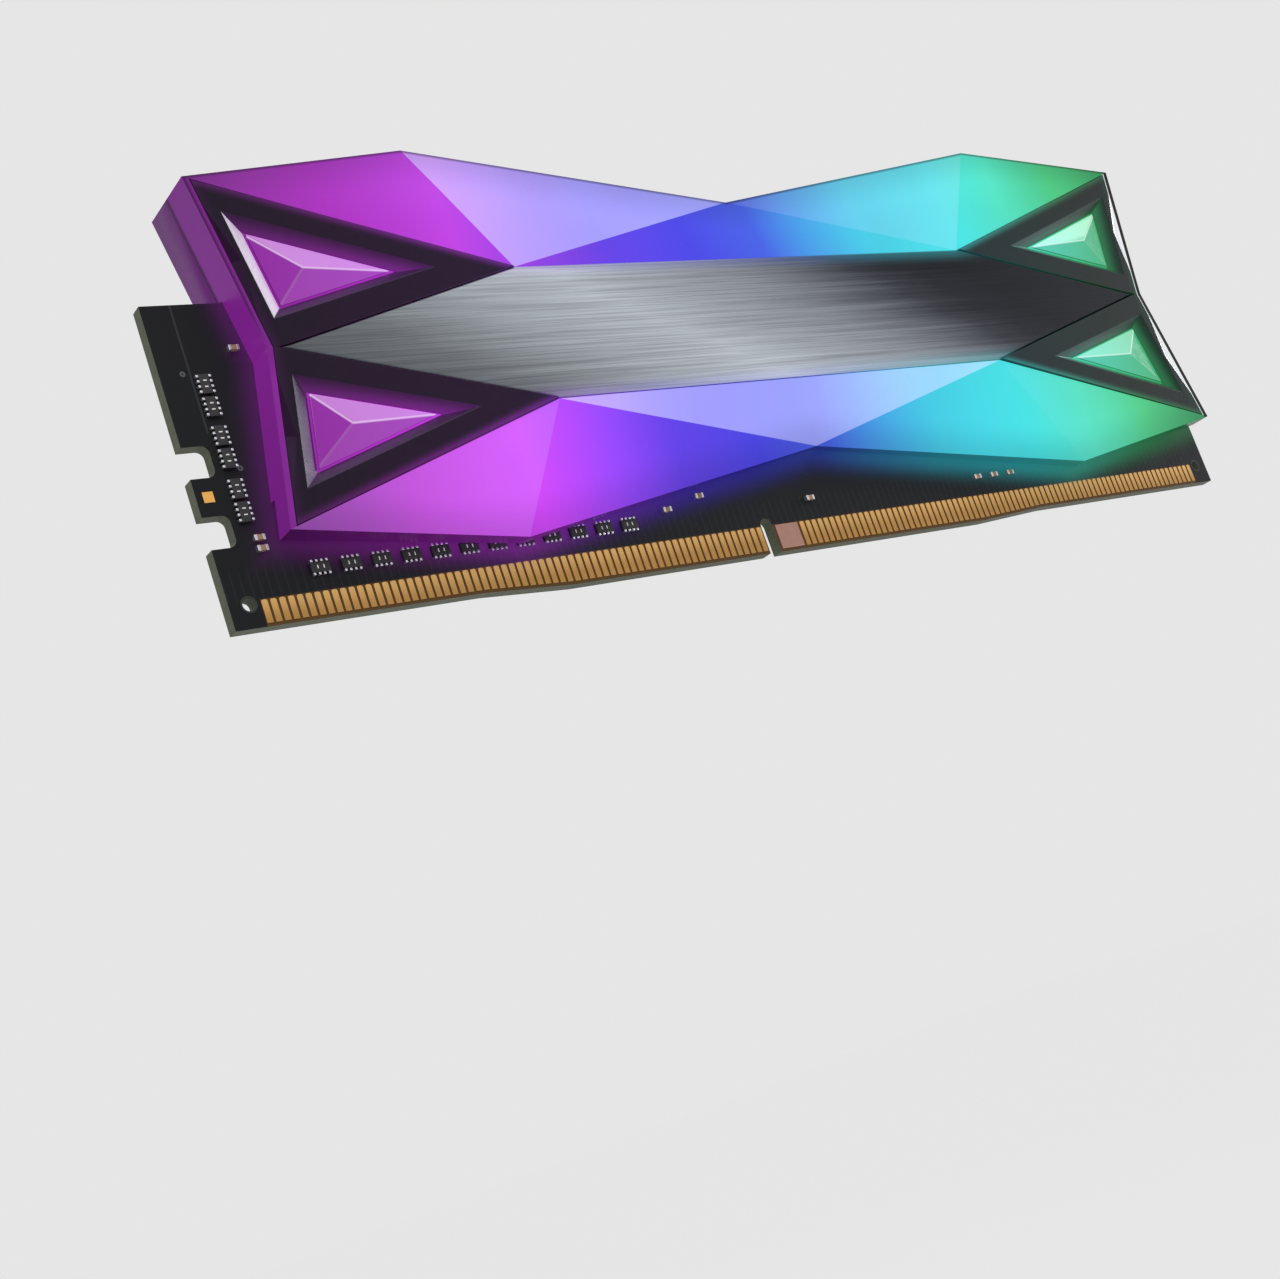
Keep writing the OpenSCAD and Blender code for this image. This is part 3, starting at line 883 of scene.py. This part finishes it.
@dataclass(frozen=True)
class SolderMaskFinish:
    """Black solder mask over copper tracks, with a bare strip between the contacts and a painted glow
    from the guide near the spreader's outline.
    """

    plan: SpreaderPlan
    board_end: float
    contact_top: float
    contact_end: float
    contact_pitch: float = 0.85
    fan_top: float = 6.3
    border_in: float = 2.9
    border_low: float = 18.6
    track: float = 0.07
    via: float = 0.2
    vias: tuple[Point, ...] = (
        (3.9, 22.6), (4.9, 15.2), (9.2, 19.4), (2.2, 24.5), (9.6, 8.8), (11.6, 8.4),
    )
    track_shade: float = 0.22
    spill_glow: float = 0.24
    spill_reach: float = 4.6
    relief: float = 0.012 * MM
    mask: Colour = srgb(22, 23, 27)
    raised: Colour = srgb(46, 48, 54)
    ring: Colour = srgb(92, 94, 98)
    bare: Colour = srgb(88, 62, 30)
    edge_dark: Colour = srgb(50, 54, 44)
    edge_light: Colour = srgb(106, 110, 90)

    def tracks(self, x: Wire, z: Wire) -> Wire:
        """Returns where the tracks above the contacts and the border line run.

        Args:
            x: The place along the board in millimetres.
            z: The height on the board in millimetres.
        """
        half = self.contact_pitch / 2
        soft = self.track + 0.05
        fan = (x + self.contact_end + half).zigzag(half).step(soft, self.track)
        fan = fan * z.step(self.fan_top, self.fan_top - 1)
        fan = fan * z.step(self.contact_top, self.contact_top + 0.1)
        border = abs(x + self.board_end - self.border_in).step(soft, self.track)
        border = border * z.step(self.border_low, self.border_low + 0.2)
        return (fan * self.track_shade).most(border)

    def via_rings(self, x: Wire, z: Wire) -> Wire:
        """Returns where the rings of the small plated vias are.

        Args:
            x: The place along the board in millimetres.
            z: The height on the board in millimetres.
        """
        area = self.via * self.via
        rings = []
        for place, height in self.vias:
            across = x + (self.board_end - place)
            up = z - height
            rings.append(abs((across * across + up * up) - area).step(area, area / 3))
        return greatest(rings)

    def make(self) -> bpy.types.Material:
        """Returns the material."""
        recipe = Recipe.material("black_solder_mask")
        masks = PlanMasks(recipe, self.plan)
        x, _, z = recipe.xyz()
        _, facing_y, _ = recipe.facing()
        face = abs(facing_y).step(0.4, 0.7)
        plies = recipe.noise((260.0, 14000.0, 260.0))
        fibres = recipe.noise((5200.0, 900.0, 5200.0))
        edge = recipe.mix(0.5 * plies + 0.5 * fibres, self.edge_dark, self.edge_light)
        weave = recipe.noise((2400.0,) * 3, 3.0)
        tracks = self.tracks(x, z)
        masked = recipe.mix(tracks, recipe.dim(self.mask, 0.7 + 0.3 * weave), self.raised)
        masked = recipe.mix(self.via_rings(x, z), masked, self.ring)
        strip = z.step(self.contact_top + 0.12, self.contact_top + 0.04)
        strip = strip * abs(x).step(self.contact_end + 0.1, self.contact_end)
        surface = recipe.mix(strip * 0.9, masked, self.bare)
        # Painted glow: the guide's light on the board near the spreader's outline.
        spill = masks.inside_outline().step(-self.spill_reach, 0.0)
        hue = LightColours().at(recipe, masks.along)
        return recipe.finish({
            "Base Color": recipe.mix(face, edge, surface),
            "Roughness": 0.4 + 0.25 * weave,
            "Specular IOR Level": 0.16,
            "Emission Color": recipe.dim(hue, self.spill_glow * spill * spill * spill * face),
            "Emission Strength": 1.0,
            "Normal": recipe.bump(0.3 * weave + tracks, self.relief),
        })


@dataclass(frozen=True)
class PadFinish:
    """Bare copper beside the key slot, and gold on the small test pads at the board's ends."""

    test_pads_from: float = 60.0
    copper: Colour = srgb(176, 132, 118)
    gold: Colour = srgb(246, 186, 96)
    stain_depth: float = 0.003 * MM

    def make(self) -> bpy.types.Material:
        """Returns the material."""
        recipe = Recipe.material("bare_copper")
        x, _, _ = recipe.xyz()
        on_test_pad = abs(x).step(self.test_pads_from - 1, self.test_pads_from)
        stain = recipe.noise((1500.0,) * 3, 3.0)
        colour = recipe.mix(on_test_pad, self.copper, self.gold)
        return recipe.finish({
            "Base Color": recipe.dim(colour, 0.78 + 0.3 * stain),
            "Metallic": 0.55 + 0.15 * on_test_pad,
            "Roughness": 0.4 + 0.2 * stain,
            "Normal": recipe.bump(stain, self.stain_depth),
        })


@dataclass(frozen=True)
class ContactFinish:
    """Gold plating that darkens towards the foot of each contact, with wiped streaks."""

    contact_top: float
    gold: Colour = srgb(228, 180, 112)
    foot: Colour = srgb(190, 142, 80)
    streak_depth: float = 0.004 * MM

    def make(self) -> bpy.types.Material:
        """Returns the material."""
        recipe = Recipe.material("gold_plating")
        _, _, z = recipe.xyz()
        low = z.step(self.contact_top, self.contact_top * 0.3)
        streaks = recipe.noise((9000.0, 300.0, 240.0), 3.0)
        cloud = recipe.noise((90.0,) * 3)
        colour = recipe.mix(low, self.gold, self.foot)
        return recipe.finish({
            "Base Color": recipe.dim(colour, 0.72 + 0.2 * streaks + 0.2 * cloud),
            "Metallic": 0.9,
            "Roughness": 0.26 + 0.2 * streaks,
            "Normal": recipe.bump(streaks, self.streak_depth),
        })


@dataclass(frozen=True)
class PlainFinish:
    """A finish of one colour with fine grain, such as plating, epoxy or ceramic."""

    name: str
    colour: Colour
    metallic: float = 0.0
    roughness: float = 0.5
    variation: float = 0.25
    grain: float = 4000.0
    depth: float = 0.003 * MM
    specular: float = 0.5

    def make(self) -> bpy.types.Material:
        """Returns the material."""
        recipe = Recipe.material(self.name)
        fine = recipe.noise((self.grain,) * 3, 3.0)
        broad = recipe.noise((self.grain / 12,) * 3)
        shade = (1 - self.variation) + self.variation * (fine + broad)
        return recipe.finish({
            "Base Color": recipe.dim(self.colour, shade),
            "Metallic": self.metallic,
            "Roughness": self.roughness * (0.85 + 0.3 * fine),
            "Specular IOR Level": self.specular,
            "Normal": recipe.bump(fine, self.depth),
        })


# --------------------------------------------------------------- modelling bench


class Bench:
    """Modelling steps on one piece, each done in edit mode on what is picked."""

    DISC_SIDES = 24
    FLAT_ANGLE = math.radians(0.6)

    def __init__(self, piece: bpy.types.Object) -> None:
        """Takes up a piece.

        Args:
            piece: The mesh object to work on.
        """
        self.piece = piece

    @classmethod
    def block(cls, name: str, low: Vector, high: Vector) -> "Bench":
        """Starts from a cube between two corners.

        Args:
            name: The piece's name.
            low: Its lowest corner.
            high: Its highest corner.
        """
        bpy.ops.object.select_all(action="DESELECT")
        bpy.ops.mesh.primitive_cube_add(size=1, location=(low + high) / 2)
        bench = cls(bpy.context.active_object)
        bench.piece.scale = high - low
        bench.piece.name = name
        bench.settle()
        return bench

    @classmethod
    def disc(cls, name: str, centre: Vector, radius: float, depth: float) -> "Bench":
        """Starts from a cylinder that runs through the board.

        Args:
            name: The piece's name.
            centre: The middle of the cylinder.
            radius: Its radius.
            depth: Its length along Y.
        """
        bpy.ops.object.select_all(action="DESELECT")
        bpy.ops.mesh.primitive_cylinder_add(
            vertices=cls.DISC_SIDES, radius=radius, depth=depth, location=centre,
            rotation=(math.pi / 2, 0, 0),
        )
        bench = cls(bpy.context.active_object)
        bench.piece.name = name
        bench.settle()
        return bench

    @classmethod
    def copy(cls, name: str, node: str, merge: float = 0.002 * MM) -> "Bench":
        """Starts from a copy of a frame node with its triangles joined.

        Args:
            name: The new piece's name.
            node: The node.
            merge: The distance within which points are joined.
        """
        piece = bpy.data.objects.new(name, frame["nodes"][node].data.copy())
        bpy.context.scene.collection.objects.link(piece)
        piece.data.materials.clear()
        bench = cls(piece)
        bench.edit(
            lambda: bpy.ops.mesh.select_all(action="SELECT"),
            lambda: bpy.ops.mesh.remove_doubles(threshold=merge),
            lambda: bpy.ops.mesh.dissolve_limited(angle_limit=cls.FLAT_ANGLE),
        )
        return bench

    def focus(self) -> None:
        """Makes the piece the only one selected."""
        bpy.ops.object.select_all(action="DESELECT")
        self.piece.select_set(True)
        bpy.context.view_layer.objects.active = self.piece

    def settle(self) -> "Bench":
        """Moves the piece's place into its mesh."""
        self.focus()
        bpy.ops.object.transform_apply(location=True, rotation=True, scale=True)
        return self

    def edit(self, *steps: Callable[[], Any]) -> "Bench":
        """Runs edit-mode steps in order."""
        self.focus()
        bpy.ops.object.mode_set(mode="EDIT")
        for step in steps:
            step()
        bpy.ops.object.mode_set(mode="OBJECT")
        return self

    def pick_faces(self, test: Callable[[Vector, Vector], bool]) -> Callable[[], None]:
        """Makes a step that picks faces.

        Args:
            test: Takes a face's centre and direction, and says if it is picked.

        Returns:
            The step.
        """
        def step() -> None:
            """Picks the faces."""
            bpy.ops.mesh.select_mode(type="FACE")
            bpy.ops.mesh.select_all(action="DESELECT")
            work = bmesh.from_edit_mesh(self.piece.data)
            for face in work.faces:
                face.select_set(test(face.calc_center_median(), face.normal))
            bmesh.update_edit_mesh(self.piece.data)

        return step

    def pick_edges(self, test: Callable[[Vector, Vector], bool]) -> Callable[[], None]:
        """Makes a step that picks edges.

        Args:
            test: Takes an edge's middle and direction, and says if it is picked.

        Returns:
            The step.
        """
        def step() -> None:
            """Picks the edges."""
            bpy.ops.mesh.select_mode(type="EDGE")
            bpy.ops.mesh.select_all(action="DESELECT")
            work = bmesh.from_edit_mesh(self.piece.data)
            for edge in work.edges:
                first, second = (vertex.co for vertex in edge.verts)
                edge.select_set(test((first + second) / 2, (second - first).normalized()))
            bmesh.update_edit_mesh(self.piece.data)

        return step

    def soften(self, width: float, segments: int = 2, angle: float = 22.0) -> "Bench":
        """Rounds the piece's sharp edges.

        Args:
            width: The rounding's width in metres.
            segments: Its steps.
            angle: The least angle of an edge that is rounded, in degrees.
        """
        self.focus()
        bevel = self.piece.modifiers.new("rounding", "BEVEL")
        bevel.width = width
        bevel.segments = segments
        bevel.limit_method = "ANGLE"
        bevel.angle_limit = math.radians(angle)
        bevel.use_clamp_overlap = True
        bpy.ops.object.modifier_apply(modifier=bevel.name)
        return self

    def join(self, others: Sequence[bpy.types.Object]) -> "Bench":
        """Joins other objects into the piece."""
        self.focus()
        for other in others:
            other.select_set(True)
        bpy.ops.object.join()
        return self.settle()

    def dress(self, material: bpy.types.Material) -> "Bench":
        """Gives the whole piece one material."""
        self.piece.data.materials.clear()
        self.piece.data.materials.append(material)
        return self

    def mount(self, slot: str, *nodes: str) -> None:
        """Hands the finished piece to the frame.

        Args:
            slot: The record's material slot of its finish; not used.
            nodes: The nodes that it stands for.
        """
        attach(self.piece, "root")
        if nodes:
            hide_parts(*nodes)
        log.info("%s: %d faces", self.piece.name, len(self.piece.data.polygons))


def solids_of(node: str) -> list[tuple[Vector, Vector]]:
    """Measures the separate solids of a frame node.

    Args:
        node: The node's name.

    Returns:
        The lowest and highest corner of each, from left to right.
    """
    work = bmesh.new()
    work.from_mesh(frame["nodes"][node].data)
    bmesh.ops.remove_doubles(work, verts=work.verts, dist=0.001 * MM)
    waiting = set(work.verts)
    boxes = []
    while waiting:
        group = [waiting.pop()]
        corners = []
        while group:
            vertex = group.pop()
            corners.append(vertex.co.copy())
            for edge in vertex.link_edges:
                other = edge.other_vert(vertex)
                if other in waiting:
                    waiting.remove(other)
                    group.append(other)
        low = Vector(tuple(min(c[i] for c in corners) for i in range(3)))
        high = Vector(tuple(max(c[i] for c in corners) for i in range(3)))
        boxes.append((low, high))
    work.free()
    return sorted(boxes, key=lambda pair: tuple(pair[0]))


# --------------------------------------------------------------------- the parts


@dataclass
class Spreader:
    """One heat spreader: light guide, frame, centre plate and prisms."""

    side: Side
    plan: SpreaderPlan
    guide_round: float = 0.08 * MM
    frame_round: float = 0.07 * MM
    plate_round: float = 0.05 * MM
    prism_round: float = 0.06 * MM
    prisms: int = 4
    merge: float = 0.02 * MM

    def build(self, finishes: dict[str, bpy.types.Material]) -> None:
        """Builds and dresses the spreader's pieces.

        Args:
            finishes: The materials by slot.
        """
        word = self.side.word
        parts = [
            (f"light_guide_{word}", "light_guide", self.guide_round),
            (f"frame_{word}", "dark_frame", self.frame_round),
            (f"centre_plate_{word}", "brushed_plate", self.plate_round),
        ]
        for index in range(self.prisms):
            parts.append((f"prism_{word}_{index + 1}", "clear_prism", self.prism_round))
        for node, slot, rounding in parts:
            bench = Bench.copy(f"{node}_finished", node, self.merge)
            bench.soften(rounding).dress(finishes[slot]).mount(slot, node)


@dataclass
class Board:
    """The circuit board with its two rows of contacts."""

    contact_round: float = 0.16 * MM
    top_reach: float = 0.1 * MM
    board_round: float = 0.05 * MM
    merge: float = 0.004 * MM

    def build(self, finishes: dict[str, bpy.types.Material]) -> None:
        """Builds and dresses the board's pieces.

        Args:
            finishes: The materials by slot.
        """
        bench = Bench.copy("circuit_board", "pcb", self.merge)
        bench.soften(self.board_round, 1).dress(finishes["solder_mask"]).mount("solder_mask", "pcb")
        for side in Side:
            node = f"contacts_{side.word}"
            self.contacts(node).dress(finishes["gold_contacts"]).mount("gold_contacts", node)

    def contacts(self, node: str) -> Bench:
        """Builds one row of contacts with rounded upper corners.

        Args:
            node: The frame node that holds the row.

        Returns:
            The row as one piece.
        """
        rows = []
        for index, (low, high) in enumerate(solids_of(node)):
            least = high.z - self.top_reach

            def upper_corner(middle: Vector, way: Vector, least: float = least) -> bool:
                """Says if an edge runs through the board at the contact's top."""
                return abs(way.y) > 0.9 and middle.z > least

            bench = Bench.block(f"{node}_{index}", low, high)
            bench.edit(
                bench.pick_edges(upper_corner),
                lambda: bpy.ops.mesh.bevel(offset=self.contact_round, segments=2, affect="EDGES"),
            )
            rows.append(bench)
        first = rows[0]
        first.join([bench.piece for bench in rows[1:]])
        first.piece.name = f"{node}_rounded"
        return first


@dataclass
class SmallParts:
    """Resistor packs, capacitors, chips and hole collars on the board."""

    pack_round: float = 0.06 * MM
    pack_rim: float = 0.1 * MM
    pack_glaze: float = 0.02 * MM
    solder_round: float = 0.07 * MM
    mark: tuple[float, float] = (0.12 * MM, 0.34 * MM)
    mark_gap: float = 0.3 * MM
    mark_height: float = 0.026 * MM
    cap_share: float = 0.24
    cap_skin: float = 0.03 * MM
    chip_round: float = 0.08 * MM
    hole_at: Point = (1.9 * MM, 2.7 * MM)
    bore: float = 0.62 * MM
    collar: float = 0.78 * MM
    chips: tuple[str, ...] = (*(f"dram_{i + 1}" for i in range(8)), "spd_chip", "led_driver")

    def build(self, finishes: dict[str, bpy.types.Material]) -> None:
        """Builds and dresses every small part.

        Args:
            finishes: The materials by slot.
        """
        self.packs().dress(finishes["chip_epoxy"]).mount("chip_epoxy", "resistor_packs")
        self.marks().dress(finishes["led_lens"]).mount("led_lens")
        terminals = Bench.copy("pack_terminals_soldered", "pack_terminals")
        terminals.soften(self.solder_round)
        terminals.dress(finishes["tinned_terminals"]).mount("tinned_terminals", "pack_terminals")
        for node in ("capacitors", "capacitors_rear"):
            body = Bench.copy(f"{node}_rounded", node).soften(self.pack_round)
            body.dress(finishes["ceramic_capacitor"]).mount("ceramic_capacitor", node)
            self.end_caps(node).dress(finishes["tinned_terminals"]).mount("tinned_terminals")
        for node in self.chips:
            chip = Bench.copy(f"{node}_moulded", node).soften(self.chip_round)
            chip.dress(finishes["chip_epoxy"]).mount("chip_epoxy", node)
        # The collars' dark epoxy is partly painted shade inside the holes.
        self.collars().dress(finishes["chip_epoxy"]).mount("chip_epoxy")

    def packs(self) -> Bench:
        """Returns the resistor packs with a raised glaze inside each one's rim."""
        bench = Bench.copy("resistor_packs_glazed", "resistor_packs")
        bench.edit(
            bench.pick_faces(lambda centre, facing: facing.y < -0.9),
            lambda: bpy.ops.mesh.inset(thickness=self.pack_rim, use_individual=True),
            lambda: bpy.ops.mesh.inset(
                thickness=self.pack_glaze, depth=self.pack_glaze, use_individual=True
            ),
        )
        return bench.soften(self.pack_round / 2, 1, 60)

    def marks(self) -> Bench:
        """Returns two plain strokes printed on each resistor pack."""
        strokes = []
        width, height = self.mark
        for low, high in solids_of("resistor_packs"):
            centre = (low + high) / 2
            upright = high.z - low.z > high.x - low.x
            for way in (-1, 1):
                offset = way * self.mark_gap
                place = Vector((centre.x, low.y, centre.z + offset) if upright
                               else (centre.x + offset, low.y, centre.z))
                half = Vector((height, 0, width) if upright else (width, 0, height)) / 2
                rise = Vector((0, self.mark_height, 0))
                strokes.append(Bench.block("stroke", place - half - rise, place + half).piece)
        bench = Bench(strokes[0]).join(strokes[1:])
        bench.piece.name = "pack_marks"
        return bench.soften(self.pack_glaze / 3, 1)

    def end_caps(self, node: str) -> Bench:
        """Returns the tinned ends of one node's capacitors.

        Args:
            node: The frame node that holds them.
        """
        caps = []
        skin = Vector((1, 1, 1)) * self.cap_skin
        for low, high in solids_of(node):
            size = high - low
            axis = 0 if size.x > size.z else 2
            reach = size[axis] * self.cap_share
            for end in (0, 1):
                first, last = low.copy(), high.copy()
                if end:
                    first[axis] = high[axis] - reach
                else:
                    last[axis] = low[axis] + reach
                caps.append(Bench.block("cap", first - skin, last + skin).piece)
        bench = Bench(caps[0]).join(caps[1:])
        bench.piece.name = f"{node}_ends"
        return bench.soften(self.pack_round, 1)

    def collars(self) -> Bench:
        """Returns the dark epoxy collars of the holes in the board's lower corners, dark as a bare hole
        wall and as painted shade inside the holes.
        """
        low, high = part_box("pcb")
        middle = (low.y + high.y) / 2
        depth = high.y - low.y + 2 * self.pack_glaze
        rings = []
        for end in (-1, 1):
            centre = Vector((end * (high.x - self.hole_at[0]), middle, low.z + self.hole_at[1]))
            ring = Bench.disc("collar", centre, self.collar, depth)
            ring.edit(
                ring.pick_faces(lambda centre, facing: abs(facing.y) > 0.9),
                lambda: bpy.ops.mesh.inset(thickness=self.collar - self.bore, use_individual=True),
                lambda: bpy.ops.mesh.delete(type="FACE"),
                lambda: bpy.ops.mesh.select_mode(type="EDGE"),
                lambda: bpy.ops.mesh.select_non_manifold(),
                lambda: bpy.ops.mesh.bridge_edge_loops(),
                lambda: bpy.ops.mesh.select_all(action="SELECT"),
                lambda: bpy.ops.mesh.normals_make_consistent(inside=False),
            )
            rings.append(ring.piece)
        bench = Bench(rings[0]).join(rings[1:])
        bench.piece.name = "hole_collars"
        return bench.soften(self.pack_glaze, 1)


# ------------------------------------------------------------------- the studio


@dataclass(frozen=True)
class Lamp:
    """One soft rectangular lamp, with its place and size in metres and its power in watts."""

    name: str
    place: Vector
    size: Point
    power: float

    def make(self, aim: Vector) -> None:
        """Makes the lamp.

        Args:
            aim: What it points at.
        """
        data = bpy.data.lights.new(self.name, "AREA")
        data.shape = "RECTANGLE"
        data.size, data.size_y = self.size
        data.energy = self.power
        lamp = bpy.data.objects.new(self.name, data)
        bpy.context.scene.collection.objects.link(lamp)
        lamp.location = self.place
        lamp.rotation_mode = "QUATERNION"
        lamp.rotation_quaternion = (aim - self.place).to_track_quat("-Z", "Y")


@dataclass(frozen=True)
class Studio:
    """Camera, soft light and pale surroundings, in metres."""

    eye: Vector = Vector((-0.1389, -0.1476, -0.0443))
    aim: Vector = Vector((-0.0258, 0.0, -0.0063))
    roll: float = 19.04
    lens: float = 55.4
    nearest: float = 0.005
    furthest: float = 50.0
    floor_z: float = -0.16
    floor_size: float = 6.0
    floor_share: float = 0.985
    backdrop: Colour = srgb(230, 230, 230)
    sky: Colour = srgb(255, 255, 255)
    sky_light: float = 0.6
    lit_point: Vector = Vector((0, 0, 0.02))
    lamps: tuple[Lamp, ...] = (
        Lamp("key", Vector((-0.35, -0.55, 0.6)), (0.6, 0.4), 3.0),
        Lamp("strip", Vector((0.6, 0.08, 0.17)), (0.5, 0.12), 1.6),
        Lamp("back", Vector((0.3, 0.6, 0.4)), (0.6, 0.4), 2.5),
    )

    def camera(self) -> None:
        """Makes the camera."""
        data = bpy.data.cameras.new("camera")
        data.lens = self.lens
        data.clip_start = self.nearest
        data.clip_end = self.furthest
        camera = bpy.data.objects.new("camera", data)
        bpy.context.scene.collection.objects.link(camera)
        camera.rotation_mode = "QUATERNION"
        camera.location = self.eye
        level = (self.aim - self.eye).to_track_quat("-Z", "Y")
        camera.rotation_quaternion = level @ Quaternion((0, 0, 1), -math.radians(self.roll))
        bpy.context.scene.camera = camera

    @staticmethod
    def seen(recipe: Recipe) -> Wire:
        """Returns 1 for rays that carry the surroundings' own colour, and 0 for lighting rays."""
        node = recipe.add("ShaderNodeLightPath")
        kinds = ("Is Camera Ray", "Is Glossy Ray", "Is Transmission Ray")
        return greatest([recipe.wire(node, kind) for kind in kinds])

    def floor(self) -> None:
        """Makes the pale floor below the module."""
        bpy.ops.object.select_all(action="DESELECT")
        bpy.ops.mesh.primitive_plane_add(size=self.floor_size, location=(0, 0, self.floor_z))
        floor = bpy.context.active_object
        floor.name = "floor"
        recipe = Recipe.material("pale_floor")
        lit = recipe.add("ShaderNodeBsdfDiffuse", inputs={"Color": self.backdrop})
        shown = recipe.add("ShaderNodeEmission", inputs={"Color": self.backdrop})
        recipe.blend(self.seen(recipe) * self.floor_share, lit, shown)
        floor.data.materials.append(recipe.owner)

    def world(self) -> None:
        """Makes the pale surroundings and their soft light."""
        world = bpy.data.worlds.new("surroundings")
        bpy.context.scene.world = world
        recipe = Recipe(world)
        inputs = {"Color": self.sky, "Strength": self.sky_light}
        light = recipe.add("ShaderNodeBackground", inputs=inputs)
        shown = recipe.add("ShaderNodeBackground", inputs={"Color": self.backdrop})
        recipe.blend(self.seen(recipe), light, shown)

    def build(self) -> None:
        """Makes the whole studio."""
        self.camera()
        self.floor()
        self.world()
        for lamp in self.lamps:
            lamp.make(self.lit_point)
        bpy.context.scene.view_settings.view_transform = "Standard"


def finishes_for(plan: SpreaderPlan) -> dict[str, bpy.types.Material]:
    """Makes every finish.

    Args:
        plan: The spreader's outline.

    Returns:
        The materials by the record's slot names.
    """
    contact_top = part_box("contacts_front")[1].z / MM
    contact_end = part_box("contacts_front")[1].x / MM
    board_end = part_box("pcb")[1].x / MM
    makers = {
        "light_guide": LightGuideFinish(plan),
        "clear_prism": PrismFinish(plan),
        "dark_frame": FrameFinish(plan),
        "brushed_plate": PlateFinish(plan),
        "solder_mask": SolderMaskFinish(plan, board_end, contact_top, contact_end),
        "gold_contacts": ContactFinish(contact_top),
        "bare_copper": PadFinish(),
        "chip_epoxy": PlainFinish("chip_epoxy", srgb(34, 34, 37), 0, 0.55, 0.3, 6000),
        "led_lens": PlainFinish("led_lens", srgb(228, 226, 214), 0, 0.25, 0.1),
        "tinned_terminals": PlainFinish("tinned_terminals", srgb(214, 214, 218), 0.9, 0.28, 0.3),
        "ceramic_capacitor": PlainFinish("ceramic_capacitor", srgb(150, 122, 94), 0, 0.5, 0.3),
        "thermal_pad": PlainFinish("thermal_pad", srgb(142, 150, 160), 0, 0.8, 0.2, 1800),
        "bare_aluminium": PlainFinish("bare_aluminium", srgb(188, 190, 194), 1, 0.35, 0.2, 3000),
    }
    return {slot: maker.make() for slot, maker in makers.items()}


def dress_nodes(finishes: dict[str, bpy.types.Material]) -> None:
    """Gives each node that stays its finish.

    Args:
        finishes: The materials by slot.
    """
    for part in frame["record"]["subparts"]:
        node = frame["nodes"][part["node"]]
        for place in node.material_slots:
            place.material = finishes[part["material_slot"]]


def main() -> None:
    """Builds the module and its studio in order."""
    logging.basicConfig(level=logging.INFO)
    bpy.ops.object.select_all(action="DESELECT")
    plan = SpreaderPlan.measured()
    finishes = finishes_for(plan)
    dress_nodes(finishes)
    Board().build(finishes)
    SmallParts().build(finishes)
    for side in Side:
        Spreader(side, plan).build(finishes)
    Studio().build()


if __name__ == "__main__":
    main()
